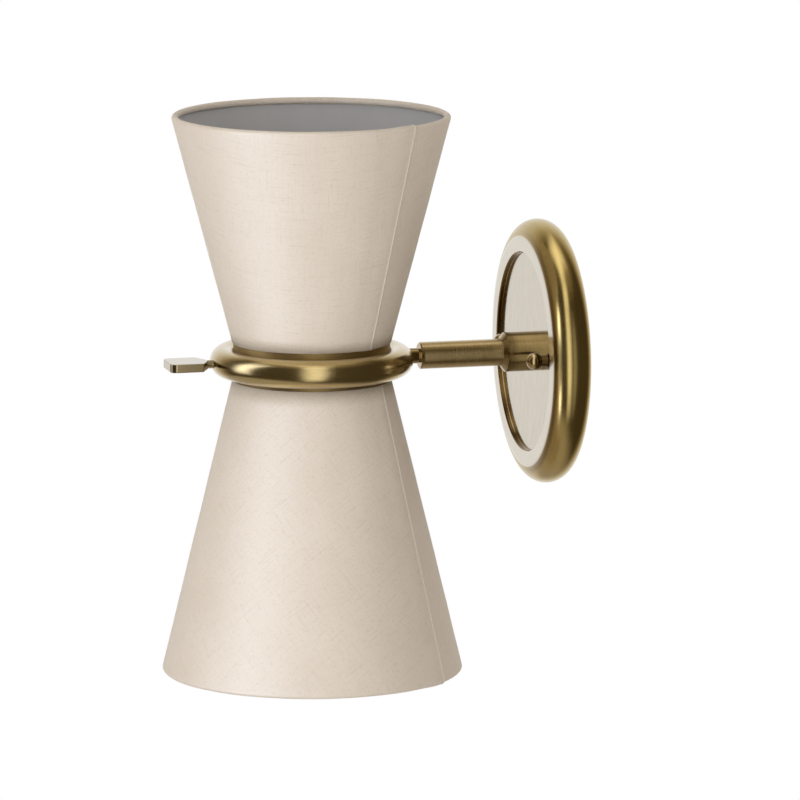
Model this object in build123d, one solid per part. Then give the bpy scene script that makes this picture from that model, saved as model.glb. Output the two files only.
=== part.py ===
from build123d import *
import math
import os

# Wall sconce: a round back plate, a short arm, a ring and two fabric shades.
# Millimetres. The wall is the plane y = 0, with the origin at the middle of the back plate.
# The light stands out from the wall along -Y, and +Z is up.

# Back plate
PLATE_DIA = 127.0  # across the rolled rim
RIM_RADIUS = 9.2  # round section of the rim
RIM_FLAT = 0.4  # depth faced off the back of the rim, so that it sits on the wall
FOOT_WIDTH = 2.2  # flat ring that is left there
PLATE_WALL = 1.6
LAND_WIDTH = 6.65  # flat ring between the crown of the rim and the recess
RECESS_DEPTH = 2.1
RECESS_EDGE = 0.5  # bevel round the recess

# Mounting strap behind the plate
WALL_SCREW_SPACING = 69.85  # the holes of a wall box
WALL_HOLE_DIA = 5.0
STRAP_WIDTH = 15.0
STRAP_THICK = 2.0
STRAP_EYE = 26.0  # way through for the leads
STRAP_EYE_WALL = 7.0
EARTH_SCREW_DIA = 4.0
EARTH_HEAD_DIA = 6.6
EARTH_HEAD = 2.4
EARTH_ANGLE = -45.0  # degrees round the eye, from +X
SCREW_SLOT = 1.0

# Ball knobs that clamp the plate
KNOB_SPACING = 60.0
KNOB_DIA = 8.0
KNOB_SEAT = 4.5  # from the recess floor to the centre of the ball
KNOB_NECK_DIA = 5.4
STUD_DIA = 4.0
STUD_PROUD = 5.4
STUD_NUT_ACROSS = 7.0
STUD_NUT = 3.2

# Hub collar and what holds it to the plate
HUB_DIA = 19.0
HUB_LENGTH = 13.3
HUB_TAPER = 2.0  # length of the cone at its front
HUB_LIP = 0.3  # flat that the cone leaves round the arm
NIPPLE_DIA = 10.0
NIPPLE_BORE = 7.0
NIPPLE_TAIL = 1.0
WASHER_DIA = 18.0
WASHER = 1.0
HUB_NUT_ACROSS = 17.0
HUB_NUT = 4.0

# Arm
ARM_DIA = 13.0
ARM_WALL = 1.0
ARM_LENGTH = 40.2  # from the hub to the end of the arm
ARM_SEAT = 8.0  # depth of the tube in the hub
END_LIP = 1.4
END_CHAMFER = 0.6
BUSH_LENGTH = 10.0

# Swivel between the arm and the ring
STEM_DIA = 6.0
STEM_BORE = 3.6
STEM_SHOULDER_DIA = 6.8
STEM_SHOULDER = 1.2
NECK_LENGTH = 4.3  # from the end of the arm to the ring
NECK_DIA = 7.4
NECK_SEAT = 1.2  # depth of the neck in the ring
SWIVEL_RANGE = 45.0  # degrees each way
STOP_WALL = 1.1
STOP_THICK = 2.0
STOP_LUG = 2.4
STOP_SPARE = 2.0  # degrees between the lug and the stop at the end of the range
SPRING_DIA = 9.0
SPRING_THICK = 0.6
STEM_NUT_ACROSS = 8.0
STEM_NUT = 2.6
STEM_TAIL = 0.8

# Ring and the galleries inside it
RING_RADIUS = 41.7  # to the centre of its round section
RING_TUBE = 6.85  # radius of that section
GALLERY_INSET = 4.3  # from the crown of the ring in to the gallery's outside
GALLERY_WALL = 1.4
SHADE_SEAT = 9.1  # height of the gallery's top above the middle of the ring
LEDGE_WIDTH = 5.65  # ledge inside the gallery that takes the bridge
LEDGE_THICK = 1.5
LEAD_GAP = 3.5  # radius of the way through for the leads
BRIDGE_WIDTH = 16.0
BRIDGE_THICK = 2.0
SCREW_DIA = 2.5
SCREW_HEAD_DIA = 4.4
SCREW_HEAD = 1.5
SCREW_NUT_ACROSS = 5.0
SCREW_NUT = 2.0
SCREW_TAIL = 0.5

# Lampholders and bulbs
LAMP_NIPPLE_DIA = 10.0
LAMP_NIPPLE_BORE = 7.0
LAMP_NIPPLE_REACH = 10.5
LAMP_NUT_ACROSS = 14.0
LAMP_NUT = 3.0
HOLDER_BASE_DIA = 24.0
HOLDER_FLANGE_DIA = 34.0
HOLDER_FLANGE = 1.5
HOLDER_SKIRT_DIA = 28.0
HOLDER_TOP = 34.0  # from the middle of the ring
HOLDER_FLOOR = 13.0  # from the middle of the ring
SHELL_DIA = 14.0  # inside the screw shell
SHELL_WALL = 0.4
SHELL_START = 1.6  # above the floor of the holder
SHELL_TOP_GAP = 1.0
CONTACT_DIA = 4.4
CONTACT_HEIGHT = 1.8
BULB_TIP_DIA = 7.0
BULB_TIP = 2.0
BULB_COLLAR_DIA = 18.6
BULB_COLLAR = 1.6
GLOBE_DIA = 45.0
GLOBE_NECK_DIA = 17.0
GLOBE_NECK = 28.0  # from the collar to the centre of the globe
GLOBE_WALL = 1.2
GLOBE_SHOULDER = 50.0  # degrees below the middle of the globe, where the neck begins
SHADE_NUT_DIA = 37.2
SHADE_NUT = 4.0

# Shades
UPPER_RIM = 116.5  # height of the rim wire above the middle of the ring
UPPER_RADIUS = 66.2  # outside, at the rim
LOWER_RIM = 148.45
LOWER_RADIUS = 71.8
CLOTH = 0.5
LINER = 0.4
RIM_WIRE_DIA = 2.1
FITTER_RING = 3.4
FITTER_SPOKE = 6.0
FITTER_EYE = 4.7
FITTER_THICK = 1.2
SPOKES = 3
FIRST_SPOKE = 90.0  # degrees from +X, towards the wall

# Key and rotary switch
KEY_WIDTH = 20.0
KEY_LENGTH = 15.8
KEY_THICK = 4.1
KEY_CORNER = 3.0
KEY_EDGE = 0.4
KEY_SHOULDER = 3.6  # length over which the flat narrows to its root
KEY_ROOT = 4.6
KEY_NECK = 2.7  # from the ring to the root of the flat
KEY_SHAFT_DIA = 4.0
SPINDLE_DIA = 3.2
NOSE_DIA = 9.0
SWITCH_WIDTH = 16.0
SWITCH_GAP = 0.5  # between the switch and the flanges of the lampholders
SWITCH_LENGTH = 11.5
SWITCH_WALL = 2.2
COVER_THICK = 1.4
ROTOR_DIA = 9.2
ROTOR_GAP = 0.8  # between the rotor's ends and the switch
TERMINAL_DIA = 3.0
TERMINAL_HEAD = 1.2
TERMINAL_SPACING = 9.0

# Leads
ARM_LEAD_DIA = 3.0
LAMP_LEAD_DIA = 1.3
LAMP_LEAD_OFFSET = 0.75
LEAD_BEND = 0.45  # share of a run that its bend takes

# Clearances
RUN_GAP = 0.04  # round a part that turns in a bore
FACE_GAP = 0.1  # between flat faces that turn on each other
LOOSE_GAP = 0.3  # round a part that only passes through
SEAT_GAP = 0.05  # between parts that are pushed together

# Distances out from the wall
rim_centre = PLATE_DIA / 2 - RIM_RADIUS
plate_out = 2 * RIM_RADIUS - RIM_FLAT
rim_out = plate_out - RIM_RADIUS
floor_out = plate_out - RECESS_DEPTH
back_out = floor_out - PLATE_WALL
hub_out = floor_out + HUB_LENGTH
seat_out = hub_out - ARM_SEAT
arm_out = hub_out + ARM_LENGTH
tube_out = arm_out - END_LIP
bush_out = tube_out - BUSH_LENGTH
stop_out = bush_out - FACE_GAP - STOP_THICK
spring_out = stop_out - SPRING_THICK
stem_nut_out = spring_out - STEM_NUT
ring_out = arm_out + NECK_LENGTH
head_out = ring_out + RING_RADIUS + RING_TUBE

# Heights and radii about the head's axis
ring_hole = RING_RADIUS - RING_TUBE
gallery_radius = RING_RADIUS - GALLERY_INSET
gallery_bore = ring_hole - GALLERY_WALL
ledge_radius = gallery_bore - LEDGE_WIDTH
screw_radius = gallery_bore - SCREW_NUT_ACROSS / math.sqrt(3) - LOOSE_GAP
bridge_top = BRIDGE_THICK / 2
ledge_top = bridge_top + LEDGE_THICK
holder_base = bridge_top + LAMP_NUT
flange_low = SHADE_SEAT - HOLDER_FLANGE
fitter_top = SHADE_SEAT + FITTER_THICK
narrow_radius = gallery_radius + CLOTH + SEAT_GAP
shell_low = HOLDER_FLOOR + SHELL_START
shell_top = HOLDER_TOP - SHELL_TOP_GAP
contact_top = HOLDER_FLOOR + CONTACT_HEIGHT
collar_top = HOLDER_TOP + BULB_COLLAR
switch_back = HOLDER_BASE_DIA / 2 + LOOSE_GAP
switch_low = switch_back + COVER_THICK
switch_front = switch_low + SWITCH_LENGTH
switch_height = 2 * (flange_low - SWITCH_GAP)
nose_front = RING_RADIUS - LOOSE_GAP
lead_end = ledge_radius + LEDGE_THICK

head = Pos(0, -head_out, 0)
nodes = {}


def facing(out, x=0, z=0):
    # Plane that looks out from the wall, at a distance from it.
    return Plane((x, -out, z), x_dir=(1, 0, 0), z_dir=(0, -1, 0))


def rod(diameter, start, end, x=0, z=0):
    # Round bar along the arm's line, between two distances out from the wall.
    return extrude(facing(start, x, z) * Circle(diameter / 2), end - start)


def tube(diameter, bore, start, end, x=0, z=0):
    return extrude(facing(start, x, z) * (Circle(diameter / 2) - Circle(bore / 2)), end - start)


def hex_nut(across, bore, plane, thickness):
    blank = RegularPolygon(across / 2, 6, major_radius=False) - Circle(bore / 2)
    return extrude(plane * blank, thickness)


def post(diameter, low, high, x=0, y=0):
    # Upright round bar, placed from the head's axis.
    return head * Pos(x, y, (low + high) / 2) * Cylinder(diameter / 2, high - low)


def outline(*lines):
    return make_face([edge for line in lines for edge in line.edges()])


def turned(*lines):
    # Solid of revolution about the arm's line, from lines of (radius, -distance out).
    return revolve(outline(*lines), Axis.Y)


def upright(*corners):
    # Solid of revolution about the head's axis, from corners of (radius, height).
    return head * revolve(Plane.XZ * make_face(Polyline(*corners, close=True)), Axis.Z)


def both_ways(name, solid):
    # A piece above the ring and its mirror image below it.
    nodes["upper_" + name] = solid
    nodes["lower_" + name] = mirror(solid, Plane.XY)


def group(*solids):
    return Compound(children=list(solids))


# Back plate: a thin spun shell with a rolled rim, open towards the wall
def back_plate():
    recess = rim_centre - LAND_WIDTH
    foot = rim_centre + math.sqrt(RIM_RADIUS**2 - rim_out**2)
    mouth = foot - FOOT_WIDTH
    hollow = RIM_RADIUS - PLATE_WALL
    lip_out = rim_out - math.sqrt(hollow**2 - (mouth - rim_centre) ** 2)
    under_land = plate_out - PLATE_WALL
    eye = NIPPLE_DIA / 2 + SEAT_GAP
    front = Polyline(
        (eye, -floor_out),
        (recess, -floor_out),
        (recess, RECESS_EDGE - plate_out),
        (recess + RECESS_EDGE, -plate_out),
        (rim_centre, -plate_out),
    )
    rim = ThreePointArc((rim_centre, -plate_out), (rim_centre + RIM_RADIUS, -rim_out), (foot, 0))
    edge = Polyline((foot, 0), (mouth, 0), (mouth, -lip_out))
    inside = ThreePointArc(
        (mouth, -lip_out), (rim_centre + hollow, -rim_out), (rim_centre, -under_land)
    )
    back = Polyline(
        (rim_centre, -under_land),
        (recess + PLATE_WALL, -under_land),
        (recess + PLATE_WALL, -back_out),
        (eye, -back_out),
        (eye, -floor_out),
    )
    plate = turned(front, rim, edge, inside, back)
    for side in (-1, 1):
        plate -= rod(STUD_DIA + 2 * SEAT_GAP, 0, plate_out, side * KNOB_SPACING / 2)
    return plate


# Mounting strap: a cross of steel strip with an open eye, screwed to the wall box
def mounting_strap():
    eye_rim = STRAP_EYE / 2 + STRAP_EYE_WALL
    blank = SlotCenterToCenter(WALL_SCREW_SPACING, STRAP_WIDTH, rotation=90)
    blank += SlotCenterToCenter(KNOB_SPACING, STRAP_WIDTH)
    blank += Circle(eye_rim)
    blank -= Circle(STRAP_EYE / 2)
    for side in (-1, 1):
        blank -= Pos(0, side * WALL_SCREW_SPACING / 2) * Circle(WALL_HOLE_DIA / 2)
        blank -= Pos(side * KNOB_SPACING / 2, 0) * Circle(STUD_DIA / 2)
    blank -= earth_place() * Circle(EARTH_SCREW_DIA / 2)
    return extrude(facing(0) * blank, STRAP_THICK)


def earth_place():
    return Rot(0, 0, EARTH_ANGLE) * Pos((STRAP_EYE + STRAP_EYE_WALL) / 2, 0)


def earth_screw():
    head_plane = facing(STRAP_THICK) * earth_place()
    cap = extrude(head_plane * Circle(EARTH_HEAD_DIA / 2), EARTH_HEAD)
    slot_plane = facing(STRAP_THICK + EARTH_HEAD / 2) * earth_place()
    cap -= extrude(slot_plane * Rectangle(EARTH_HEAD_DIA, SCREW_SLOT), EARTH_HEAD)
    return cap + extrude(facing(0) * earth_place() * Circle(EARTH_SCREW_DIA / 2), STRAP_THICK)


def knob():
    # Ball on a short neck, with a blind threaded hole.
    ball = KNOB_DIA / 2
    neck = KNOB_NECK_DIA / 2
    centre = floor_out + KNOB_SEAT
    neck_end = centre - math.sqrt(ball**2 - neck**2)
    stud_end = floor_out + STUD_PROUD
    base = Polyline((STUD_DIA / 2, -floor_out), (neck, -floor_out), (neck, -neck_end))
    dome = ThreePointArc((neck, -neck_end), (ball, -centre), (0, -centre - ball))
    hole = Polyline(
        (0, -centre - ball), (0, -stud_end), (STUD_DIA / 2, -stud_end), (STUD_DIA / 2, -floor_out)
    )
    return turned(base, dome, hole)


nodes["back_plate"] = back_plate()
nodes["mounting_strap"] = mounting_strap()
nodes["earth_screw"] = earth_screw()
knob_places = [side * KNOB_SPACING / 2 for side in (-1, 1)]
nodes["strap_studs"] = group(*[rod(STUD_DIA, 0, floor_out + STUD_PROUD, x) for x in knob_places])
nodes["stud_nuts"] = group(
    *[hex_nut(STUD_NUT_ACROSS, STUD_DIA, facing(STRAP_THICK, x), STUD_NUT) for x in knob_places]
)
nodes["knob_nuts"] = group(*[Pos(x, 0, 0) * knob() for x in knob_places])


# Hub collar: takes the arm in front and the threaded nipple behind
def hub_collar():
    outer = HUB_DIA / 2
    bore = ARM_DIA / 2
    thread = NIPPLE_DIA / 2
    side = Polyline(
        (thread, -floor_out),
        (outer, -floor_out),
        (outer, HUB_TAPER - hub_out),
        (bore + HUB_LIP, -hub_out),
        (bore, -hub_out),
        (bore, -seat_out),
        (thread, -seat_out),
        close=True,
    )
    return turned(side)


nodes["hub_collar"] = hub_collar()
washer_out = back_out - WASHER
hub_nut_out = washer_out - HUB_NUT
nodes["hub_nipple"] = tube(NIPPLE_DIA, NIPPLE_BORE, hub_nut_out - NIPPLE_TAIL, seat_out)
nodes["hub_washer"] = tube(WASHER_DIA, NIPPLE_DIA, washer_out, back_out)
nodes["hub_nut"] = hex_nut(HUB_NUT_ACROSS, NIPPLE_DIA, facing(hub_nut_out), HUB_NUT)

# Arm tube, closed at its end by a bush for the swivel
arm_bore = ARM_DIA - 2 * ARM_WALL
stop_wall_bore = arm_bore - 2 * STOP_WALL
lug_reach = arm_bore / 2 - LOOSE_GAP
lug_angle = math.degrees(math.asin(STOP_LUG / stop_wall_bore))  # half the lug, where it enters the wall


def arm_end_bush():
    lip = ARM_DIA / 2
    hole = STEM_DIA / 2 + RUN_GAP
    body = turned(
        Polyline(
            (hole, -bush_out),
            (arm_bore / 2, -bush_out),
            (arm_bore / 2, -tube_out),
            (lip, -tube_out),
            (lip, END_CHAMFER - arm_out),
            (lip - END_CHAMFER, -arm_out),
            (hole, -arm_out),
            close=True,
        )
    )
    # A wall round the back of the bush, open over the swing of the lug.
    wall = tube(arm_bore, stop_wall_bore, stop_out, bush_out)
    half_gap = SWIVEL_RANGE + lug_angle + STOP_SPARE
    fan = [(0, 0)]
    for turn in (-half_gap, 0, half_gap):
        fan.append((ARM_DIA * math.sin(math.radians(turn)), ARM_DIA * math.cos(math.radians(turn))))
    wall -= extrude(facing(stop_out) * make_face(Polyline(*fan, close=True)), STOP_THICK + FACE_GAP)
    return body + wall


def stop_washer():
    # Keyed to the stem. Its lug stops the swivel at each end of the range.
    blank = Circle(stop_wall_bore / 2 - LOOSE_GAP)
    blank += Pos(0, lug_reach / 2) * Rectangle(STOP_LUG, lug_reach)
    blank -= Circle(STEM_DIA / 2)
    return extrude(facing(stop_out) * blank, STOP_THICK)


def swivel_stem():
    # Hollow stem: runs in the bush, carries the nut behind it and screws into the ring.
    ring_wall = math.sqrt(RING_TUBE**2 - (STEM_DIA / 2) ** 2)
    stem_end = head_out - RING_RADIUS + ring_wall
    shoulder_out = arm_out + FACE_GAP
    stem = tube(STEM_DIA, STEM_BORE, stem_nut_out - STEM_TAIL, stem_end)
    neck_out = shoulder_out + STEM_SHOULDER
    stem += tube(STEM_SHOULDER_DIA, STEM_BORE, shoulder_out, neck_out)
    return stem + tube(NECK_DIA, STEM_BORE, neck_out, ring_out + NECK_SEAT)


nodes["arm_tube"] = tube(ARM_DIA, arm_bore, seat_out, tube_out)
nodes["arm_end_bush"] = arm_end_bush()
nodes["swivel_stem"] = swivel_stem()
nodes["stop_washer"] = stop_washer()
nodes["spring_washer"] = tube(SPRING_DIA, STEM_DIA, spring_out, stop_out)
nodes["stem_nut"] = hex_nut(STEM_NUT_ACROSS, STEM_DIA, facing(stem_nut_out), STEM_NUT)


# Ring: cast brass, drilled at the back for the stem and at the front for the key and switch
def half_ring(turn):
    section = Plane.XZ * Pos(RING_RADIUS, 0) * Circle(RING_TUBE)
    return head * Rot(0, 0, turn) * revolve(section, Axis.Z, 180)


def waist_ring():
    # Each half is drilled before the two are joined.
    back = half_ring(0) - rod(STEM_DIA, arm_out, head_out)
    back -= rod(NECK_DIA, arm_out, ring_out + NECK_SEAT)
    front = half_ring(180) - rod(KEY_SHAFT_DIA + 2 * RUN_GAP, head_out, head_out + 2 * RING_RADIUS)
    front -= rod(NOSE_DIA, head_out, head_out + RING_RADIUS)
    return back + front


def on_ring(radius=None, height=None):
    # Point of the seat that lies on the inner, upper side of the ring's section.
    seat = RING_TUBE + SEAT_GAP
    if radius is None:
        radius = RING_RADIUS - math.sqrt(seat**2 - height**2)
    return radius, math.sqrt(seat**2 - (RING_RADIUS - radius) ** 2)


def gallery():
    # Collar that seats on the ring, with a ledge inside for the bridge.
    low = on_ring(height=bridge_top)
    high = on_ring(radius=gallery_radius)
    middle = on_ring(radius=(low[0] + high[0]) / 2)
    ledge = Polyline(
        (gallery_bore, ledge_top), (ledge_radius, ledge_top), (ledge_radius, bridge_top), low
    )
    collar = Polyline(
        high, (gallery_radius, SHADE_SEAT), (gallery_bore, SHADE_SEAT), (gallery_bore, ledge_top)
    )
    seat = ThreePointArc(low, middle, high)
    ring = head * revolve(Plane.XZ * outline(ledge, seat, collar), Axis.Z)
    ring -= rod(2 * LEAD_GAP, ring_out, head_out)
    ring -= rod(NOSE_DIA + 2 * LOOSE_GAP, head_out, head_out + RING_RADIUS)
    # Room for the switch, wherever the ledge would reach it.
    room = Rectangle(SWITCH_WIDTH + 2 * LOOSE_GAP, switch_height + 2 * LOOSE_GAP)
    ring -= extrude(facing(head_out) * room, switch_front + LOOSE_GAP)
    for side in (-1, 1):
        ring -= post(SCREW_DIA, 0, SHADE_SEAT, side * screw_radius)
    return ring


def lamp_bridge():
    reach = ring_hole - LOOSE_GAP
    blank = Rectangle(2 * reach, BRIDGE_WIDTH) & Circle(reach)
    blank -= Circle(LAMP_NIPPLE_DIA / 2)
    for side in (-1, 1):
        blank -= Pos(side * screw_radius, 0) * Circle(SCREW_DIA / 2)
    return head * Pos(0, 0, -bridge_top) * extrude(blank, BRIDGE_THICK)


def gallery_screw(x):
    low = -ledge_top - SCREW_NUT - SCREW_TAIL
    return post(SCREW_DIA, low, ledge_top, x) + post(
        SCREW_HEAD_DIA, ledge_top, ledge_top + SCREW_HEAD, x
    )


def level_nut(across, bore, low, thickness, x=0):
    return head * hex_nut(across, bore, Plane((x, 0, low)), thickness)


nodes["waist_ring"] = waist_ring()
both_ways("gallery", gallery())
nodes["lamp_bridge"] = lamp_bridge()
screw_places = [side * screw_radius for side in (-1, 1)]
nodes["gallery_screws"] = group(*[gallery_screw(x) for x in screw_places])
screw_nut_low = -ledge_top - SCREW_NUT
nodes["gallery_nuts"] = group(
    *[level_nut(SCREW_NUT_ACROSS, SCREW_DIA, screw_nut_low, SCREW_NUT, x) for x in screw_places]
)
nodes["lamp_nipple"] = post(LAMP_NIPPLE_DIA, -LAMP_NIPPLE_REACH, LAMP_NIPPLE_REACH) - post(
    LAMP_NIPPLE_BORE, -LAMP_NIPPLE_REACH, LAMP_NIPPLE_REACH
)
nodes["nipple_nuts"] = group(
    *[
        level_nut(LAMP_NUT_ACROSS, LAMP_NIPPLE_DIA, low, LAMP_NUT)
        for low in (bridge_top, -bridge_top - LAMP_NUT)
    ]
)


# Lampholder and bulb, modelled above the ring
def lampholder():
    base = HOLDER_BASE_DIA / 2
    flange = HOLDER_FLANGE_DIA / 2
    skirt = HOLDER_SKIRT_DIA / 2
    shell = SHELL_DIA / 2 + SHELL_WALL
    thread = LAMP_NIPPLE_DIA / 2
    return upright(
        (thread, holder_base),
        (base, holder_base),
        (base, flange_low),
        (flange, flange_low),
        (flange, SHADE_SEAT),
        (skirt, SHADE_SEAT),
        (skirt, HOLDER_TOP),
        (shell, HOLDER_TOP),
        (shell, HOLDER_FLOOR),
        (0, HOLDER_FLOOR),
        (0, LAMP_NIPPLE_REACH),
        (thread, LAMP_NIPPLE_REACH),
    )


def bulb_base():
    thread = SHELL_DIA / 2 - FACE_GAP
    tip = BULB_TIP_DIA / 2
    collar = BULB_COLLAR_DIA / 2
    return upright(
        (0, contact_top),
        (tip, contact_top),
        (thread, contact_top + BULB_TIP),
        (thread, HOLDER_TOP),
        (collar, HOLDER_TOP),
        (collar, collar_top),
        (0, collar_top),
    )


def globe_solid(shrink):
    # Round bulb that narrows to its neck, made smaller all round by the shrink.
    ball = GLOBE_DIA / 2 - shrink
    neck = GLOBE_NECK_DIA / 2 - shrink
    centre = collar_top + GLOBE_NECK
    angle = math.radians(GLOBE_SHOULDER)
    shoulder = (ball * math.cos(angle), centre - ball * math.sin(angle))
    skirt = Polyline((0, centre + ball), (0, collar_top), (neck, collar_top), shoulder)
    dome = ThreePointArc(shoulder, (ball, centre), (0, centre + ball))
    return head * revolve(Plane.XZ * outline(skirt, dome), Axis.Z)


both_ways("lampholder", lampholder())
both_ways(
    "socket_shell",
    post(SHELL_DIA + 2 * SHELL_WALL, shell_low, shell_top) - post(SHELL_DIA, shell_low, shell_top),
)
both_ways("contact", post(CONTACT_DIA, HOLDER_FLOOR, contact_top))
both_ways("bulb_base", bulb_base())
both_ways("bulb_globe", globe_solid(0) - globe_solid(GLOBE_WALL))
both_ways(
    "shade_nut",
    post(SHADE_NUT_DIA, fitter_top, fitter_top + SHADE_NUT)
    - post(HOLDER_SKIRT_DIA, fitter_top, fitter_top + SHADE_NUT),
)


# Shade: cloth on a stiff liner, rolled over a wire at the wide end, on a flat spider
def shade_fitter():
    rim = narrow_radius - CLOTH - LINER - SEAT_GAP
    eye = HOLDER_SKIRT_DIA / 2 + LOOSE_GAP
    hoop = Circle(rim) - Circle(rim - FITTER_RING)
    spokes = [
        Rot(0, 0, turn * 360 / SPOKES + FIRST_SPOKE) * Pos((eye + rim) / 2 - SEAT_GAP, 0)
        * Rectangle(rim - eye - FITTER_RING, FITTER_SPOKE)
        for turn in range(SPOKES)
    ]
    blank = hoop + (Circle(eye + FITTER_EYE) - Circle(eye)) + spokes
    return head * Pos(0, 0, SHADE_SEAT) * extrude(blank, FITTER_THICK)


def shade(rim_height, rim_radius):
    # Cloth, liner and rim wire of one shade, modelled as standing above the ring.
    wire = RIM_WIRE_DIA / 2
    roll = wire + CLOTH
    slope = (rim_radius - narrow_radius) / (rim_height - SHADE_SEAT)
    hoop = head * Pos(0, 0, rim_height)
    rim_wire = hoop * Torus(rim_radius - roll, wire)
    cloth = upright(
        (narrow_radius, SHADE_SEAT),
        (rim_radius, rim_height),
        (rim_radius - CLOTH, rim_height),
        (narrow_radius - CLOTH, SHADE_SEAT),
    )
    cloth += hoop * Torus(rim_radius - roll, roll)
    liner_top = rim_height - roll - LOOSE_GAP
    inside = narrow_radius - CLOTH - SEAT_GAP
    inside_top = inside + slope * (liner_top - SHADE_SEAT)
    liner = upright(
        (inside, SHADE_SEAT),
        (inside_top, liner_top),
        (inside_top - LINER, liner_top),
        (inside - LINER, SHADE_SEAT),
    )
    return cloth - rim_wire, liner, rim_wire


both_ways("shade_fitter", shade_fitter())
for name, solid in zip(("cloth", "liner", "rim_wire"), shade(UPPER_RIM, UPPER_RADIUS)):
    nodes["upper_shade_" + name] = solid
for name, solid in zip(("cloth", "liner", "rim_wire"), shade(LOWER_RIM, LOWER_RADIUS)):
    nodes["lower_shade_" + name] = mirror(solid, Plane.XY)


# Rotary switch inside the front of the ring, and the key that turns it
def switch_body():
    back = head_out + switch_low
    front = head_out + switch_front
    body = extrude(facing(back) * Rectangle(SWITCH_WIDTH, switch_height), SWITCH_LENGTH)
    body += rod(NOSE_DIA, front, head_out + nose_front)
    body -= rod(ROTOR_DIA + 2 * LOOSE_GAP, back, front - SWITCH_WALL)
    return body - rod(SPINDLE_DIA + 2 * LOOSE_GAP, back, head_out + nose_front)


def switch_terminal(x):
    back = head_out + switch_back
    shank = rod(TERMINAL_DIA / 2, back, back + COVER_THICK, x)
    return shank + rod(TERMINAL_DIA, back - TERMINAL_HEAD, back, x)


def switch_cover():
    back = facing(head_out + switch_back)
    blank = Rectangle(SWITCH_WIDTH, switch_height)
    for side in (-1, 1):
        blank -= Pos(side * TERMINAL_SPACING / 2, 0) * Circle(TERMINAL_DIA / 4)
    return extrude(back * blank, COVER_THICK)


rotor_start = head_out + switch_low + ROTOR_GAP
rotor_end = head_out + switch_front - SWITCH_WALL - ROTOR_GAP


def switch_key():
    # Flat key that narrows to its root, on a round shaft and a thinner spindle.
    root_out = head_out + RING_RADIUS + RING_TUBE + KEY_NECK
    wide_out = root_out + KEY_SHOULDER
    tip_out = wide_out + KEY_LENGTH
    corners = [(KEY_ROOT / 2, -root_out), (KEY_WIDTH / 2, -wide_out), (KEY_WIDTH / 2, -tip_out)]
    mirrored = [(-x, y) for x, y in reversed(corners)]
    blank = make_face(Polyline(*corners, *mirrored, close=True))
    blank = fillet(blank.vertices().sort_by(Axis.Y)[:2], KEY_CORNER)
    flat = Pos(0, 0, -KEY_THICK / 2) * extrude(blank, KEY_THICK)
    flat = fillet(flat.edges(), KEY_EDGE)
    shaft_start = head_out + RING_RADIUS + LOOSE_GAP
    shaft_end = root_out + KEY_SHOULDER
    shaft = rod(KEY_SHAFT_DIA, shaft_start, shaft_end) + rod(SPINDLE_DIA, rotor_start, shaft_start)
    return shaft + flat


nodes["switch_body"] = switch_body()
nodes["switch_cover"] = switch_cover()
nodes["switch_terminals"] = group(
    *[switch_terminal(side * TERMINAL_SPACING / 2) for side in (-1, 1)]
)
nodes["switch_rotor"] = tube(ROTOR_DIA, SPINDLE_DIA, rotor_start, rotor_end)
nodes["switch_key"] = switch_key()


# Leads: one bundle through the arm, then one lead to each lampholder
def lamp_lead():
    base = HOLDER_BASE_DIA / 2
    height = (holder_base + flange_low) / 2
    run = (lead_end - base) / 4
    corners = [
        (0, lead_end, LAMP_LEAD_OFFSET),
        (0, lead_end - run, LAMP_LEAD_OFFSET),
        (0, base + run, height),
        (0, base, height),
    ]
    half_turn = math.atan2(height - LAMP_LEAD_OFFSET, 2 * run) / 2
    radius = LEAD_BEND * run / math.tan(half_turn)
    path = FilletPolyline(*corners, radius=radius)
    section = Plane(path @ 0, z_dir=path % 0) * Circle(LAMP_LEAD_DIA / 2)
    return head * sweep(section, path)


nodes["arm_leads"] = rod(ARM_LEAD_DIA, hub_nut_out - NIPPLE_TAIL, head_out - lead_end)
lead = lamp_lead()
nodes["lamp_leads"] = group(lead, mirror(lead, Plane.XY))

os.makedirs("parts", exist_ok=True)
for name, solid in nodes.items():
    export_step(solid, f"parts/{name}.step")
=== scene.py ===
import bmesh
import bpy
import math
from mathutils import Matrix, Vector, noise


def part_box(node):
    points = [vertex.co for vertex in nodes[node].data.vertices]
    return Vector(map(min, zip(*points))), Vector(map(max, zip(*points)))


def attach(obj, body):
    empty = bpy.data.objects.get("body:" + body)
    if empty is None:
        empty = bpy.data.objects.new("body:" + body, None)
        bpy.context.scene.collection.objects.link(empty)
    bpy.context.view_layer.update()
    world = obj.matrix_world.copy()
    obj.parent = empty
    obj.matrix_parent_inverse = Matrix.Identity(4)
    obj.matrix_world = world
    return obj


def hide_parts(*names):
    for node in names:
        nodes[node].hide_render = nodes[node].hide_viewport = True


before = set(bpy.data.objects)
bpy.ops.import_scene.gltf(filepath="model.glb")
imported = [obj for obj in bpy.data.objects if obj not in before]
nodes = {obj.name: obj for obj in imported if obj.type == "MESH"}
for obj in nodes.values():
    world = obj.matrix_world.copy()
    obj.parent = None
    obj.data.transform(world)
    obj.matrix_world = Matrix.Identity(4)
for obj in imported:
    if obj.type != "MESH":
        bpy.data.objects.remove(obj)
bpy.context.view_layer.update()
scene = bpy.context.scene
scene.view_settings.view_transform = "Standard"


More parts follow.
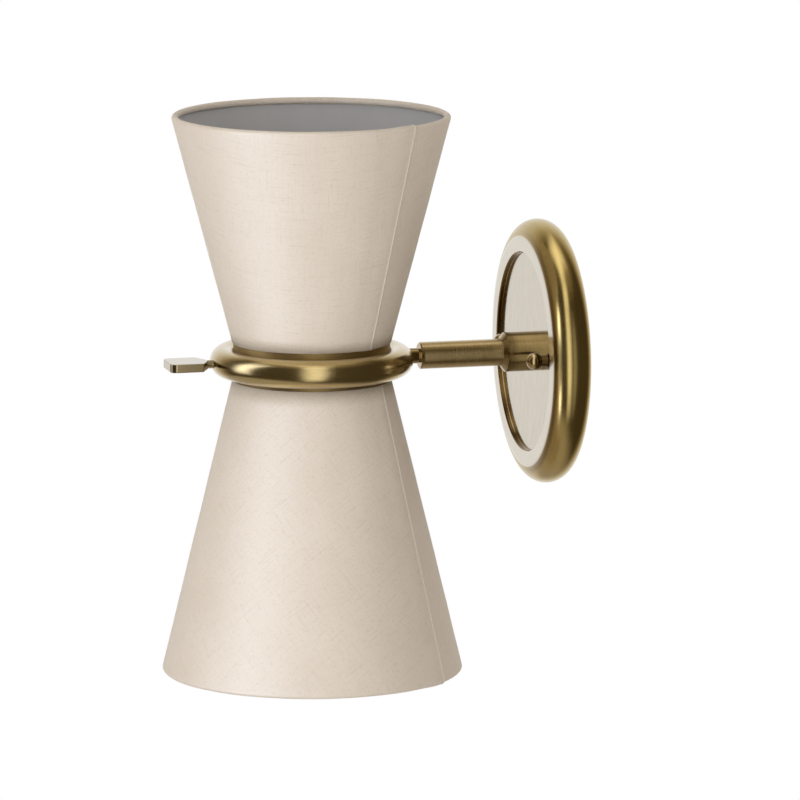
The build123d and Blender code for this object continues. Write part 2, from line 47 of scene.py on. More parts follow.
class Signal:  # one output of a node, and sums on it add Math nodes
    def __init__(self, tree, socket=None):
        self.tree = tree
        self.socket = socket

    def node(self, kind, settings=None, sockets=None, out=0):
        made = self.tree.nodes.new(kind)
        for name, value in (settings or {}).items():
            setattr(made, name, value)
        for name, value in (sockets or {}).items():
            if isinstance(value, Signal):
                self.tree.links.new(value.socket, made.inputs[name])
            else:
                made.inputs[name].default_value = value
        return Signal(self.tree, made.outputs[out] if len(made.outputs) else None)

    def pick(self, name):
        return Signal(self.tree, self.socket.node.outputs[name])

    def sums(self, operation, first, second=0.0):
        return self.node("ShaderNodeMath", {"operation": operation}, {0: first, 1: second})

    def __add__(self, other):
        return self.sums("ADD", self, other)

    def __radd__(self, other):
        return self.sums("ADD", other, self)

    def __sub__(self, other):
        return self.sums("SUBTRACT", self, other)

    def __rsub__(self, other):
        return self.sums("SUBTRACT", other, self)

    def __mul__(self, other):
        return self.sums("MULTIPLY", self, other)

    def __rmul__(self, other):
        return self.sums("MULTIPLY", other, self)

    def __pow__(self, other):
        return self.sums("POWER", self, other)

    def sine(self):
        return self.sums("SINE", self)

    def highest(self, other):
        return self.sums("MAXIMUM", self, other)

    def ease(self, low, high):  # climbs smoothly from 0 at low to 1 at high
        return self.node("ShaderNodeMapRange", {"interpolation_type": "SMOOTHSTEP"},
                         {"Value": self, "From Min": low, "From Max": high})

    def tint(self, first, second):  # first colour at 0, second colour at 1
        return self.node("ShaderNodeMix", {"data_type": "RGBA"}, {0: self, 6: first, 7: second}, 2)

    def grain(self, coords, scale, detail=2.0, turn=0.0):  # noise stretched by the scale along each axis
        placed = self.node("ShaderNodeMapping", {}, {"Vector": coords, "Rotation": (0, 0, turn)})
        stretched = self.node("ShaderNodeMapping", {}, {"Vector": placed, "Scale": scale})
        return self.node("ShaderNodeTexNoise", {}, {"Vector": stretched, "Scale": 1.0, "Detail": detail})

    def relief(self, height, distance, strength=1.0):
        sockets = {"Height": height, "Distance": distance, "Strength": strength}
        return self.node("ShaderNodeBump", {}, sockets, "Normal")


def newFinish(name):
    material = bpy.data.materials.new(name)
    material.use_nodes = True
    material.node_tree.nodes.clear()
    return material, Signal(material.node_tree)


def coatWith(start, sockets):
    shader = start.node("ShaderNodeBsdfPrincipled", {}, sockets, "BSDF")
    start.node("ShaderNodeOutputMaterial", {}, {"Surface": shader})


def slotOf(part):
    return part.material_slots[0].name.split(".")[0]


def dress(material, *names):
    for name in names:
        nodes[name].material_slots[0].material = material


# Brass: one recipe, with the brushing of each piece as a stretched grain
brassTone = {
    "cloud": (45, 45, 45), "fleck": (900, 900, 900), "limits": (0.36, 0.64), "coatIor": 1.9,
    "brushingShare": 0.45, "cloudShare": 0.35, "fleckShare": 0.2,
}
turnedBrass = {
    "light": (0.50, 0.360, 0.150, 1), "dark": (0.38, 0.270, 0.095, 1), "roughness": 0.26, "spread": 0.08,
    "grain": (25, 1500, 25), "depth": 0.000003, "coat": 0.6, "coatRoughness": 0.20,
}
hubBrass = {
    **turnedBrass, "light": (0.36, 0.265, 0.105, 1), "dark": (0.27, 0.190, 0.066, 1),
    "roughness": 0.22, "coat": 0.3,
}
knobBrass = {
    **turnedBrass, "roughness": 0.16, "depth": 0.000004,
    # painted shade colours for the knob necks where they meet the plate
    "neckShadeOut": (0.0200, 0.0212), "neckShadeLight": (0.115, 0.072, 0.026, 1), "neckShadeDark": (0.085, 0.052, 0.018, 1),
}
ringBrass = {
    "light": (0.50, 0.375, 0.140, 1), "dark": (0.44, 0.325, 0.112, 1), "roughness": 0.20, "spread": 0.03,
    "grain": (260, 260, 2600), "depth": 0.000002, "coat": 0.7, "coatRoughness": 0.20,
}
galleryBrass = {
    "light": (0.44, 0.320, 0.140, 1), "dark": (0.36, 0.255, 0.105, 1), "roughness": 0.52, "spread": 0.06,
    "grain": (300, 300, 2600), "depth": 0.000006, "coat": 0.0, "coatRoughness": 0.20,
}
keyBrass = {
    "light": (0.335, 0.248, 0.106, 1), "dark": (0.27, 0.198, 0.082, 1), "roughness": 0.20, "spread": 0.05,
    "grain": (2400, 150, 2400), "depth": 0.000003, "coat": 0.9, "coatRoughness": 0.10,
}
plateBrass = {
    "light": (0.51, 0.390, 0.155, 1), "dark": (0.44, 0.328, 0.120, 1), "roughness": 0.20, "spread": 0.03,
    "grain": (4200, 400, 150), "depth": 0.000003, "coat": 1.0, "coatRoughness": 0.08,
    "turning": (1500, 1500, 1), "floorBrushing": (0.34, 0.66), "floorSmoother": 0.08,
    "floorLight": (0.49, 0.41, 0.265, 1), "floorDark": (0.35, 0.280, 0.165, 1),
    "landLight": (0.585, 0.512, 0.385, 1), "landDark": (0.515, 0.448, 0.335, 1),
    # the dark wall colour tints the recess wall and also serves as a painted reflection on the rim's inner
    # flank
    "wallAndReflectionLight": (0.225, 0.142, 0.047, 1), "wallAndReflectionDark": (0.175, 0.108, 0.033, 1),
    # metres out of the wall, from the middle or to the right, between which one part gives way to the next
    "floorOut": (0.01605, 0.01615), "floorRadius": (0.0475, 0.048), "wallRadius": (0.049, 0.050),
    # the flank values place a painted reflection: the shade's dark back mirrored on the rim's inner flank,
    # right side only
    "landOut": (0.01782, 0.01798), "flankReflectionOut": (0.0162, 0.0175), "flankReflectionAcross": (-0.010, 0.030),
    "flankReflectionShare": 0.9,
}
stemBrass = {
    "light": (0.34, 0.235, 0.090, 1), "dark": (0.24, 0.160, 0.055, 1), "roughness": 0.13, "spread": 0.04,
    "grain": (140, 3200, 140), "depth": 0.000003, "coat": 0.3, "coatRoughness": 0.10,
}
plainBrass = {
    "light": (0.62, 0.48, 0.25, 1), "dark": (0.46, 0.34, 0.16, 1), "roughness": 0.34, "spread": 0.12,
    "grain": (900, 900, 2600), "depth": 0.00002, "coat": 0.0, "coatRoughness": 0.20,
}


def brass(name, finish):
    material, start = newFinish(name)
    coords = start.node("ShaderNodeTexCoord", {}, {}, "Object")
    brushing = start.grain(coords, finish["grain"], detail=3.0)
    cloud = start.grain(coords, brassTone["cloud"], detail=3.0)  # faint uneven ageing, about 2 cm across
    fleck = start.grain(coords, brassTone["fleck"])
    lacquer = finish["coat"]
    if "floorOut" in finish:  # the plate: turned rim and wall, level land and floor brushed upright
        place = start.node("ShaderNodeSeparateXYZ", {}, {"Vector": coords})
        out = 0 - place.pick("Y")
        radius = (place * place + place.pick("Z") * place.pick("Z")) ** 0.5
        inside = (1 - out.ease(*finish["floorOut"])) * (1 - radius.ease(*finish["floorRadius"]))
        level = out.ease(*finish["landOut"]).highest(inside)
        rings = start.node("ShaderNodeCombineXYZ", {}, {"X": radius, "Y": out})
        brushing = level * brushing + (1 - level) * start.grain(rings, finish["turning"])
    tone = (brushing * brassTone["brushingShare"] + cloud * brassTone["cloudShare"]
            + fleck * brassTone["fleckShare"])
    shade = tone.ease(*brassTone["limits"])
    colour = shade.tint(finish["dark"], finish["light"])
    rough = finish["roughness"] + (tone - 0.5) * (finish["spread"] * 2)
    if "floorOut" in finish:
        brushed = brushing.ease(*finish["floorBrushing"]).tint(finish["floorDark"], finish["floorLight"])
        # painted reflection: the rim's inner flank, towards +X only, is tinted with the dark wall colour
        # where the shade's back would be mirrored
        flankReflection = out.ease(*finish["flankReflectionOut"]) * place.ease(*finish["flankReflectionAcross"]) * finish["flankReflectionShare"]
        wall = shade.tint(finish["wallAndReflectionDark"], finish["wallAndReflectionLight"])
        land = shade.tint(finish["landDark"], finish["landLight"])
        colour = flankReflection.highest(1 - radius.ease(*finish["wallRadius"])).tint(colour, wall)
        colour = level.tint(colour, inside.tint(land, brushed))
        rough = rough - inside * finish["floorSmoother"]
        lacquer = lacquer * level
    if "neckShadeOut" in finish:  # painted shade: the knob necks next to the plate are dark and unlacquered
        depth = 0 - start.node("ShaderNodeSeparateXYZ", {}, {"Vector": coords}).pick("Y")
        proud = depth.ease(*finish["neckShadeOut"])
        colour = proud.tint(shade.tint(finish["neckShadeDark"], finish["neckShadeLight"]), colour)
        lacquer = lacquer * proud
    coatWith(start, {
        "Base Color": colour, "Metallic": 1.0, "Roughness": rough,
        "Coat Weight": lacquer, "Coat Roughness": finish["coatRoughness"], "Coat IOR": brassTone["coatIor"],
        "Normal": start.relief(brushing, finish["depth"]),
    })
    return material


dress(brass("turnedBrass", turnedBrass), "arm_tube", "arm_end_bush")
dress(brass("hubBrass", hubBrass), "hub_collar")
dress(brass("knobBrass", knobBrass), "knob_nuts")
dress(brass("stemBrass", stemBrass), "swivel_stem")
dress(brass("ringBrass", ringBrass), "waist_ring")
dress(brass("galleryBrass", galleryBrass), "upper_gallery", "lower_gallery")
dress(brass("keyBrass", keyBrass), "switch_key")
dress(brass("plateBrass", plateBrass), "back_plate")
hiddenBrass = [name for name, part in nodes.items() if slotOf(part) == "plain_brass"]
dress(brass("plainBrass", plainBrass), *hiddenBrass)
print("brass finished")


# Hardware, plastics and glass of the hidden works
plating = {"rub": (1500, 1500, 220), "spangle": (0.05, 0.75), "spread": 0.2, "depth": 0.00001}
zincSteel = {"light": (0.66, 0.67, 0.68, 1), "dark": (0.50, 0.51, 0.52, 1), "roughness": 0.36, "cell": 260}
earthGreen = {"light": (0.16, 0.42, 0.20, 1), "dark": (0.09, 0.30, 0.13, 1), "roughness": 0.40, "cell": 700}
bulbMetal = {"light": (0.74, 0.74, 0.73, 1), "dark": (0.60, 0.60, 0.58, 1), "roughness": 0.30, "cell": 500}


def platedMetal(name, finish):
    material, start = newFinish(name)
    coords = start.node("ShaderNodeTexCoord", {}, {}, "Object")
    cells = {"Vector": coords, "Scale": finish["cell"]}
    spangle = start.node("ShaderNodeTexVoronoi", {"feature": "F1"}, cells, "Distance")
    rub = start.grain(coords, plating["rub"], detail=3.0)
    tone = spangle.ease(*plating["spangle"]) * 0.5 + rub * 0.5
    coatWith(start, {
        "Base Color": tone.tint(finish["dark"], finish["light"]), "Metallic": 1.0,
        "Roughness": finish["roughness"] + (rub - 0.5) * plating["spread"],
        "Normal": start.relief(rub, plating["depth"]),
    })
    return material


moulding = {"cloud": (70, 70, 70), "limits": (0.3, 0.7), "spread": 0.16, "depth": 0.00003, "strength": 0.6}
holderPlastic = {
    "light": (0.80, 0.79, 0.76, 1), "dark": (0.72, 0.71, 0.67, 1), "roughness": 0.38, "peel": 900,
}
switchPlastic = {
    "light": (0.035, 0.034, 0.033, 1), "dark": (0.022, 0.021, 0.02, 1), "roughness": 0.42, "peel": 1300,
}
leadSleeve = {"light": (0.82, 0.81, 0.79, 1), "dark": (0.70, 0.69, 0.66, 1), "roughness": 0.46, "peel": 700}
whiteWire = {"light": (0.84, 0.83, 0.80, 1), "dark": (0.76, 0.75, 0.71, 1), "roughness": 0.34, "peel": 1600}
shadeLining = {"light": (0.57, 0.59, 0.62, 1), "dark": (0.53, 0.55, 0.58, 1), "roughness": 0.72, "peel": 2400}


def moulded(name, finish):
    material, start = newFinish(name)
    coords = start.node("ShaderNodeTexCoord", {}, {}, "Object")
    peel = start.grain(coords, (finish["peel"],) * 3, detail=3.0)
    cloud = start.grain(coords, moulding["cloud"])
    tone = (peel * 0.5 + cloud * 0.5).ease(*moulding["limits"])
    coatWith(start, {
        "Base Color": tone.tint(finish["dark"], finish["light"]),
        "Roughness": finish["roughness"] + (cloud - 0.5) * moulding["spread"],
        "Normal": start.relief(peel, moulding["depth"], moulding["strength"]),
    })
    return material


opalGlass = {
    "light": (0.93, 0.925, 0.90, 1), "dark": (0.88, 0.87, 0.835, 1), "roughness": 0.16, "spread": 0.08,
    "swirl": (60, 60, 110), "limits": (0.3, 0.7), "ior": 1.5, "coat": 0.5, "coatRoughness": 0.04,
    "scatter": 0.15, "scatterDepth": 0.004,
}


def opal(name, finish):
    material, start = newFinish(name)
    coords = start.node("ShaderNodeTexCoord", {}, {}, "Object")
    swirl = start.grain(coords, finish["swirl"], detail=4.0)
    coatWith(start, {
        "Base Color": swirl.ease(*finish["limits"]).tint(finish["dark"], finish["light"]),
        "Roughness": finish["roughness"] + (swirl - 0.5) * finish["spread"], "IOR": finish["ior"],
        "Coat Weight": finish["coat"], "Coat Roughness": finish["coatRoughness"],
        "Subsurface Weight": finish["scatter"], "Subsurface Scale": finish["scatterDepth"],
    })
    return material


slotFinish = {
    "zinc_steel": platedMetal("zincSteel", zincSteel),
    "earth_green": platedMetal("earthGreen", earthGreen),
    "bulb_metal": platedMetal("bulbMetal", bulbMetal),
    "holder_plastic": moulded("holderPlastic", holderPlastic),
    "switch_plastic": moulded("switchPlastic", switchPlastic),
    "lead_sleeve": moulded("leadSleeve", leadSleeve),
    "white_wire": moulded("whiteWire", whiteWire),
    "shade_liner": moulded("shadeLining", shadeLining),
    "opal_glass": opal("opalGlass", opalGlass),
}
for name, part in nodes.items():
    if slotOf(part) in slotFinish:
        dress(slotFinish[slotOf(part)], name)
print("hardware, plastics and glass finished")


# Linen: a plain weave with thick and thin yarns, on the flat pattern of each shade
linenCloth = {
    "light": (0.865, 0.795, 0.705, 1), "dark": (0.795, 0.715, 0.615, 1), "limits": (0.36, 0.64),
    "pitch": 0.00058, "weaveDepth": 0.00007, "yarnGrain": 0.8, "slubLength": 0.022, "cloud": (28, 28, 1),
    "yarnShare": 0.3, "cloudShare": 0.25, "weaveShare": 0.15,
    "slub": (0.66, 0.575, 0.475, 1), "warpSlubs": (0.58, 0.74), "weftSlubs": (0.56, 0.72), "slubShare": 0.5,
    "speckGrain": (650, 650, 1), "specks": (0.52, 0.72), "speckShare": 0.35,
    "stitchGrain": (700, 700, 1), "stitches": (0.30, 0.52),
    "edge": (0.98, 0.95, 0.90, 1), "edgeReach": (0.0008, 0.0012), "edgeGaps": 0.4,
    # painted shadow colour and reach beside the lap's raw edge
    "lapShadow": (0.40, 0.33, 0.26, 1), "lapShadowReach": (0.0001, 0.0010), "lapShadowShare": 0.22,
    "roughness": 0.66, "spread": 0.1, "sheen": 0.12, "sheenRoughness": 0.45, "specular": 1.0, "ior": 1.8,
}


def linen(name, finish, turn):
    material, start = newFinish(name)
    flat = start.node("ShaderNodeTexCoord", {}, {}, "UV")
    laid = start.node("ShaderNodeMapping", {}, {"Vector": flat, "Rotation": (0, 0, turn)})
    split = start.node("ShaderNodeSeparateXYZ", {}, {"Vector": laid})
    yarn = math.pi / finish["pitch"]
    weave = (split * yarn).sine() * (split.pick("Y") * yarn).sine() * 0.5 + 0.5
    fine, slow = finish["yarnGrain"] / finish["pitch"], 1 / finish["slubLength"]
    warp = start.grain(flat, (fine, slow, 1), turn=turn)
    weft = start.grain(flat, (slow, fine, 1), turn=turn)
    cloud = start.grain(flat, finish["cloud"], detail=3.0)
    slubs = warp.ease(*finish["warpSlubs"]).highest(weft.ease(*finish["weftSlubs"]))
    specks = start.grain(flat, finish["speckGrain"], detail=3.0).ease(*finish["specks"])
    tone = (warp * finish["yarnShare"] + weft * finish["yarnShare"]
            + cloud * finish["cloudShare"] + weave * finish["weaveShare"])
    plain = tone.ease(*finish["limits"]).tint(finish["dark"], finish["light"])
    flecked = (slubs * finish["slubShare"] + specks * finish["speckShare"]).tint(plain, finish["slub"])
    # the raw edge of the lap is pale, and a painted shadow darkens the cloth right beside it
    stitch = start.grain(flat, finish["stitchGrain"]).ease(*finish["stitches"])
    edge = start.node("ShaderNodeAttribute", {"attribute_name": "hemReach"}, {}, "Fac")
    raw = (1 - edge.ease(*finish["edgeReach"])) * (1 - finish["edgeGaps"] + finish["edgeGaps"] * stitch)
    beside = start.node("ShaderNodeAttribute", {"attribute_name": "lapReach"}, {}, "Fac")
    shadow = finish["lapShadowShare"] + finish["lapShadowShare"] * stitch
    lapShadow = (1 - beside.ease(*finish["lapShadowReach"])) * shadow
    coatWith(start, {
        "Base Color": raw.tint(lapShadow.tint(flecked, finish["lapShadow"]), finish["edge"]),
        "Roughness": finish["roughness"] + (cloud - 0.5) * finish["spread"],
        "Sheen Weight": finish["sheen"], "Sheen Roughness": finish["sheenRoughness"],
        "Specular IOR Level": finish["specular"], "IOR": finish["ior"],
        "Normal": start.relief(weave * 0.5 + (warp + weft) * 0.5, finish["weaveDepth"]),
    })
    return material


# Each shade is one flat cut of cloth, lapped along a seam and rolled over its rim wire
shadeSheet = {
    "thickness": 0.00045, "overGallery": 0.00055, "lap": 0.0045, "climb": 0.0140, "layer": 0.00042,
    "hem": 0.0012, "hemHeight": 0.00022, "waver": 0.00012, "waverScale": 60,
    "coneRows": 18, "rollRows": 16, "rollTurn": math.radians(250),
    "step": math.radians(2.2), "fineStep": math.radians(0.45), "fineMargin": 0.004,
}
shadeCuts = {  # where each seam runs, and how the weave lies on the flat pattern
    "upper": {"seam": math.radians(34), "grainFrom": math.radians(-14), "grainTurn": 0.0},
    "lower": {"seam": math.radians(47), "grainFrom": math.radians(-14), "grainTurn": math.radians(38)},
}


def shadeForm(side):  # the cone and its rolled rim, measured on the CAD pieces
    low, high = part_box(side + "_shade_cloth")
    wireLow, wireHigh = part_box(side + "_shade_rim_wire")
    galleryLow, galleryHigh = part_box(side + "_gallery")
    rimReach = (high[0] - low[0]) / 2
    wireRadius = (wireHigh[2] - wireLow[2]) / 2
    rollRadius = rimReach - (wireHigh[0] - wireLow[0]) / 2 + wireRadius
    rimAcross = rimReach - rollRadius
    rimHeight = abs(wireHigh[2] + wireLow[2]) / 2
    seat = min(abs(low[2]), abs(high[2]))
    narrow = (galleryHigh[0] - galleryLow[0]) / 2 + shadeSheet["overGallery"]
    # the cone's line runs from the narrow end and meets the roll as a tangent
    run, rise = rimAcross - narrow, rimHeight - seat
    slope = math.atan2(run, rise) + math.asin(rollRadius / math.hypot(run, rise))
    outward = Vector((math.cos(slope), 0, -math.sin(slope)))
    wire = Vector((rimAcross, 0, rimHeight))
    touch = wire + outward * rollRadius
    foot = Vector((narrow, 0, seat))
    return {
        "axis": Vector(((low[0] + high[0]) / 2, (low[1] + high[1]) / 2, 0)), "rimReach": rimReach,
        "rollRadius": rollRadius, "slope": slope, "outward": outward, "wire": wire, "touch": touch,
        "foot": foot, "slant": (touch - foot).length, "apex": narrow / math.sin(slope),
    }


def shadeProfile(form):  # points up the cone and over the wire, each with its distance along the cloth
    make = shadeSheet
    profile = []
    for row in range(make["coneRows"] + 1):
        share = row / make["coneRows"]
        profile.append((form["foot"].lerp(form["touch"], share), form["slant"] * share))
    for row in range(1, make["rollRows"] + 1):
        bend = make["rollTurn"] * row / make["rollRows"]
        spoke = Matrix.Rotation(-bend, 3, "Y") @ form["outward"]
        profile.append((form["wire"] + spoke * form["rollRadius"], form["slant"] + form["rollRadius"] * bend))
    return profile


def shadeCloth(side, cut):
    make = shadeSheet
    form = shadeForm(side)
    axis, rimReach, apex = form["axis"], form["rimReach"], form["apex"]
    up = 1 if side == "upper" else -1
    startAngle = cut["seam"] - math.tau - make["lap"] / rimReach
    total = cut["seam"] - startAngle

    bm = bmesh.new()
    reach = bm.verts.layers.float.new("reach")
    turned = bm.verts.layers.float.new("turned")
    turnStart = Matrix.Rotation(startAngle, 3, "Z")
    line = []
    for point, along in shadeProfile(form):
        vert = bm.verts.new(axis + turnStart @ Vector((point.x, 0, point.z * up)))
        vert[reach] = along
        line.append(vert)
    last = line + [bm.edges.new(pair) for pair in zip(line, line[1:])]
    # the steps are finer where the cloth laps over its own start
    fineTurn = (make["lap"] + make["climb"] + make["fineMargin"]) / rimReach
    coarse = math.ceil((total - fineTurn) / make["step"])
    fine = math.ceil(fineTurn / make["fineStep"])
    at = 0.0
    for step in range(coarse + fine):
        move = (total - fineTurn) / coarse if step < coarse else fineTurn / fine
        at += move
        spun = bmesh.ops.spin(bm, geom=last, cent=axis, axis=(0, 0, 1), angle=move, steps=1)
        last = spun["geom_last"]
        for part in last:
            if isinstance(part, bmesh.types.BMVert):
                part[turned] = at
    # faces point outwards, told by one at the narrow end, well clear of the roll
    bmesh.ops.recalc_face_normals(bm, faces=bm.faces)
    bm.normal_update()
    narrowest = min(bm.faces, key=lambda face: abs(face.calc_center_median().z))
    middle = narrowest.calc_center_median() - axis
    if narrowest.normal.dot(Vector((middle.x, middle.y, 0))) < 0:
        bmesh.ops.reverse_faces(bm, faces=bm.faces)
    bm.normal_update()
    # the outer end climbs onto the inner one and ends in a thick raw edge
    hemReach = bm.verts.layers.float.new("hemReach")
    lapReach = bm.verts.layers.float.new("lapReach")
    shifts = []
    for vert in bm.verts:
        across = (vert.co - axis).xy.length
        left = total - vert[turned]
        vert[hemReach] = left * across
        vert[lapReach] = (vert[turned] - make["lap"] / rimReach) * across
        lapShare = min(max((left * rimReach - make["lap"]) / make["climb"], 0), 1)
        lift = make["layer"] * (1 - lapShare * lapShare * (3 - 2 * lapShare))
        if vert[hemReach] < make["hem"]:
            lift += make["hemHeight"] * math.sin(math.pi * vert[hemReach] / make["hem"])
        lift += make["waver"] * noise.noise(vert.co * make["waverScale"])
        shifts.append((vert, vert.normal * lift))
    for vert, shift in shifts:
        vert.co += shift
    # the flat pattern, in metres, is the cloth's UV map
    flatMap = bm.loops.layers.uv.new("flatPattern")
    for face in bm.faces:
        for loop in face.loops:
            fan = (loop.vert[turned] + startAngle - cut["grainFrom"]) * math.sin(form["slope"])
            radius = apex + loop.vert[reach]
            loop[flatMap].uv = (radius * math.sin(fan), radius * math.cos(fan))
        face.smooth = True

    mesh = bpy.data.meshes.new(side + "_shade_sheet")
    bm.to_mesh(mesh)
    bm.free()
    sheet = bpy.data.objects.new(side + "_shade_sheet", mesh)
    scene.collection.objects.link(sheet)
    sheet.data.materials.append(linen(side + "Linen", linenCloth, cut["grainTurn"]))
    wall = sheet.modifiers.new("cloth", "SOLIDIFY")
    wall.thickness = make["thickness"]
    wall.offset = -1
    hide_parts(side + "_shade_cloth")
    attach(sheet, "head")
    outer = apex + form["slant"] + form["rollRadius"] * make["rollTurn"]
    half = total * math.sin(form["slope"]) / 2
    cutWidth, cutLength = 2 * outer * math.sin(half), outer - apex * math.cos(half)
    half * (outer ** 2 - apex ** 2)
    print(side, "shade: slant", round(form["slant"] * 1000, 1), "mm, cut", round(cutWidth * 1000), "by",
          round(cutLength * 1000), "mm")
    return sheet


sheets = [shadeCloth(side, cut) for side, cut in shadeCuts.items()]


# Studio: a white surround, soft lamps and a pale floor that fades out
studio = {
    "centre": Vector((0, -0.0788, -0.0212)), "ambient": 0.575, "ambientColour": (1.0, 0.91, 0.82, 1),
    "away": math.radians(-104.4), "backing": (0.3, 0.95), "overhead": (0.70, 1.0),
    "frontGlow": 0.08, "topGlow": 0.3, "dim": (1.0, 0.78, 0.45, 1), "white": (1, 1, 1, 1),
}
softEdge = {"shares": (0.55, 0.85, 1.15, 1.45), "stagger": 0.01}  # a lamp is panels, the smallest in front
coolWhite = (0.95, 1.0, 1.22)
rimLamp = {
    "azimuth": 3, "distance": 1.5, "size": (0.42, 0.42), "power": 2.2, "colour": coolWhite,
    "receivers": [nodes["back_plate"]],
}
lamps = {  # all but the soft one show only in what shines, on their receivers or on every CAD node
    "sideLamp": {
        "azimuth": -8, "elevation": 20, "distance": 1.5, "size": (0.50, 1.60), "power": 6.9,
        "colour": coolWhite, "receivers": [part for name, part in nodes.items() if name != "back_plate"],
    },
    "rimLampHigh": {**rimLamp, "elevation": 17},
    "rimLampLow": {**rimLamp, "elevation": -28},
    "frontLamp": {
        "azimuth": -6, "elevation": 0, "distance": 1.6, "size": (0.95, 1.50), "power": 3.1,
        "colour": (0.95, 1.0, 1.15), "receivers": [nodes["back_plate"]],
    },
    "stripLamp": {"azimuth": 74, "elevation": 8, "distance": 0.366, "size": (0.15, 0.86), "power": 0.60},
    "wallLamp": {
        "azimuth": 104, "elevation": -3, "distance": 0.361, "size": (0.10, 0.5), "power": 0.06,
        "receivers": [nodes["arm_tube"], nodes["back_plate"]],
    },
    "topLamp": {"azimuth": 76, "elevation": 66, "distance": 0.6, "size": (0.20, 0.36), "power": 0.17},
    "backLamp": {"azimuth": -70, "elevation": 80, "distance": 1.5, "size": (0.9, 0.9), "power": 3.6},
    "clothLamp": {
        "azimuth": 28, "elevation": -8, "distance": 2.4, "size": (1.0, 1.5), "power": 56.0,
        "colour": (0.98, 1.0, 1.06), "receivers": sheets,
    },
    "softLamp": {
        "azimuth": 45, "elevation": 2, "distance": 2.4, "size": (1.0, 1.2), "power": 12.5, "onlyLights": True,
    },
}


def around(target, azimuth, elevation, distance):  # azimuth from straight in front of the wall towards +X
    turn, lift = math.radians(azimuth), math.radians(elevation)
    offset = Vector((math.sin(turn) * math.cos(lift), -math.cos(turn) * math.cos(lift), math.sin(lift)))
    return target + offset * distance


def facing(place, target):
    return (target - place).to_track_quat("-Z", "Y").to_euler()


def hangPanel(name, lamp, share):
    onlyLights = lamp.get("onlyLights", False)
    light = bpy.data.lights.new(name, "AREA")
    light.shape = "RECTANGLE"
    light.size = lamp["size"][0] * share
    light.size_y = lamp["size"][1] * share
    light.energy = lamp["power"] * share * share / len(softEdge["shares"])
    light.color = lamp.get("colour", (1.0, 1.0, 1.0))
    holder = bpy.data.objects.new(name, light)
    distance = lamp["distance"] + softEdge["stagger"] * share
    holder.location = around(studio["centre"], lamp["azimuth"], lamp["elevation"], distance)
    holder.rotation_euler = facing(holder.location, studio["centre"])
    holder.visible_camera = False
    holder.visible_glossy = not onlyLights
    holder.visible_diffuse = onlyLights
    if not onlyLights:
        lit = bpy.data.collections.new(name)
        for piece in lamp.get("receivers", nodes.values()):
            lit.objects.link(piece)
        holder.light_linking.receiver_collection = lit
    scene.collection.objects.link(holder)


for name, lamp in lamps.items():
    for share in softEdge["shares"]:
        hangPanel(name, lamp, share)

# The camera and what shines see a white surround, dimmed towards the front, and the rest gets even light
world = bpy.data.worlds.new("studio")
scene.world = world
world.use_nodes = True
world.node_tree.nodes.clear()
sky = Signal(world.node_tree)
rays = sky.node("ShaderNodeLightPath", {}, {}, "Is Camera Ray")
mirrored = rays.pick("Is Glossy Ray").highest(rays.pick("Is Transmission Ray"))
ahead = sky.node("ShaderNodeTexCoord", {}, {}, "Generated")
awayFrom = (math.sin(studio["away"]), -math.cos(studio["away"]), 0)
behind = sky.node("ShaderNodeVectorMath", {"operation": "DOT_PRODUCT"}, {0: ahead, 1: awayFrom}, "Value")
overhead = sky.node("ShaderNodeSeparateXYZ", {}, {"Vector": ahead}).pick("Z").ease(*studio["overhead"])
pale = rays.highest(behind.ease(*studio["backing"]).highest(overhead * studio["topGlow"]))
surround = sky.node("ShaderNodeBackground", {}, {
    "Color": pale.tint(studio["dim"], studio["white"]),
    "Strength": studio["frontGlow"] + (1 - studio["frontGlow"]) * pale,
})
ambient = sky.node("ShaderNodeBackground", {}, {
    "Color": studio["ambientColour"], "Strength": studio["ambient"],
})
both = sky.node("ShaderNodeMixShader", {}, {0: rays.highest(mirrored), 1: ambient, 2: surround})
sky.node("ShaderNodeOutputWorld", {}, {"Surface": both})

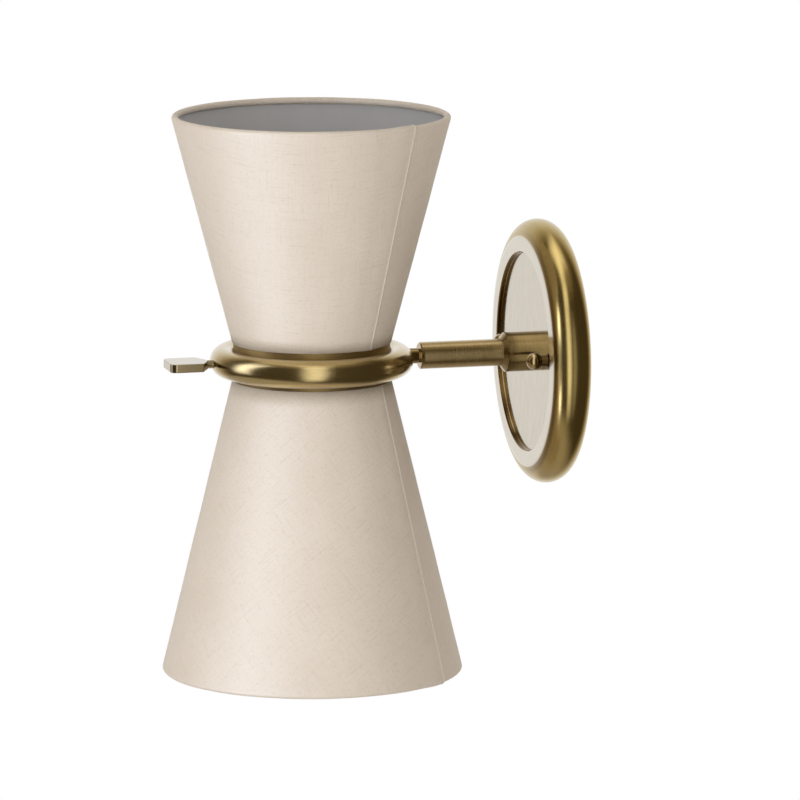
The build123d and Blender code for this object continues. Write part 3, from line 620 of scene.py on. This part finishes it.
paleFloor = {
    "middle": (0, -0.08, -0.60), "reach": 1.2, "segments": 96,
    "fadeFrom": (-0.22, -0.40), "fade": (0.42, 0.792),
    "light": (0.82, 0.82, 0.81, 1), "dark": (0.78, 0.78, 0.77, 1), "mottle": (9, 9, 9), "roughness": 0.9,
}


def floorPaper(name, finish):
    material, start = newFinish(name)
    coords = start.node("ShaderNodeTexCoord", {}, {}, "Object")
    place = start.node("ShaderNodeSeparateXYZ", {}, {"Vector": coords})
    offsetX = place - finish["fadeFrom"][0]
    offsetY = place.pick("Y") - finish["fadeFrom"][1]
    fade = ((offsetX * offsetX + offsetY * offsetY) ** 0.5).ease(*finish["fade"])
    mottle = start.grain(coords, finish["mottle"], detail=3.0)
    paper = start.node("ShaderNodeBsdfPrincipled", {}, {
        "Base Color": mottle.tint(finish["dark"], finish["light"]), "Roughness": finish["roughness"],
    }, "BSDF")
    clear = start.node("ShaderNodeBsdfTransparent")
    faded = start.node("ShaderNodeMixShader", {}, {0: fade, 1: paper, 2: clear})
    start.node("ShaderNodeOutputMaterial", {}, {"Surface": faded})
    return material


bm = bmesh.new()
bmesh.ops.create_circle(bm, cap_ends=True, segments=paleFloor["segments"], radius=paleFloor["reach"],
                        matrix=Matrix.Translation(paleFloor["middle"]))
mesh = bpy.data.meshes.new("studio_floor")
bm.to_mesh(mesh)
bm.free()
floor = bpy.data.objects.new("studio_floor", mesh)
scene.collection.objects.link(floor)
floor.data.materials.append(floorPaper("paleFloor", paleFloor))
print("studio set")

# Camera at the photograph's angle
view = {
    "azimuth": 75.6, "elevation": 9.68, "distance": 3.3, "target": Vector((0, -0.07881, -0.02117)),
    "lens": 310.257, "sensor": 36,
}
camera = bpy.data.objects.new("photoCamera", bpy.data.cameras.new("photoCamera"))
camera.data.lens = view["lens"]
camera.data.sensor_width = view["sensor"]
camera.location = around(view["target"], view["azimuth"], view["elevation"], view["distance"])
camera.rotation_euler = facing(camera.location, view["target"])
scene.collection.objects.link(camera)
scene.camera = camera
print("camera set")
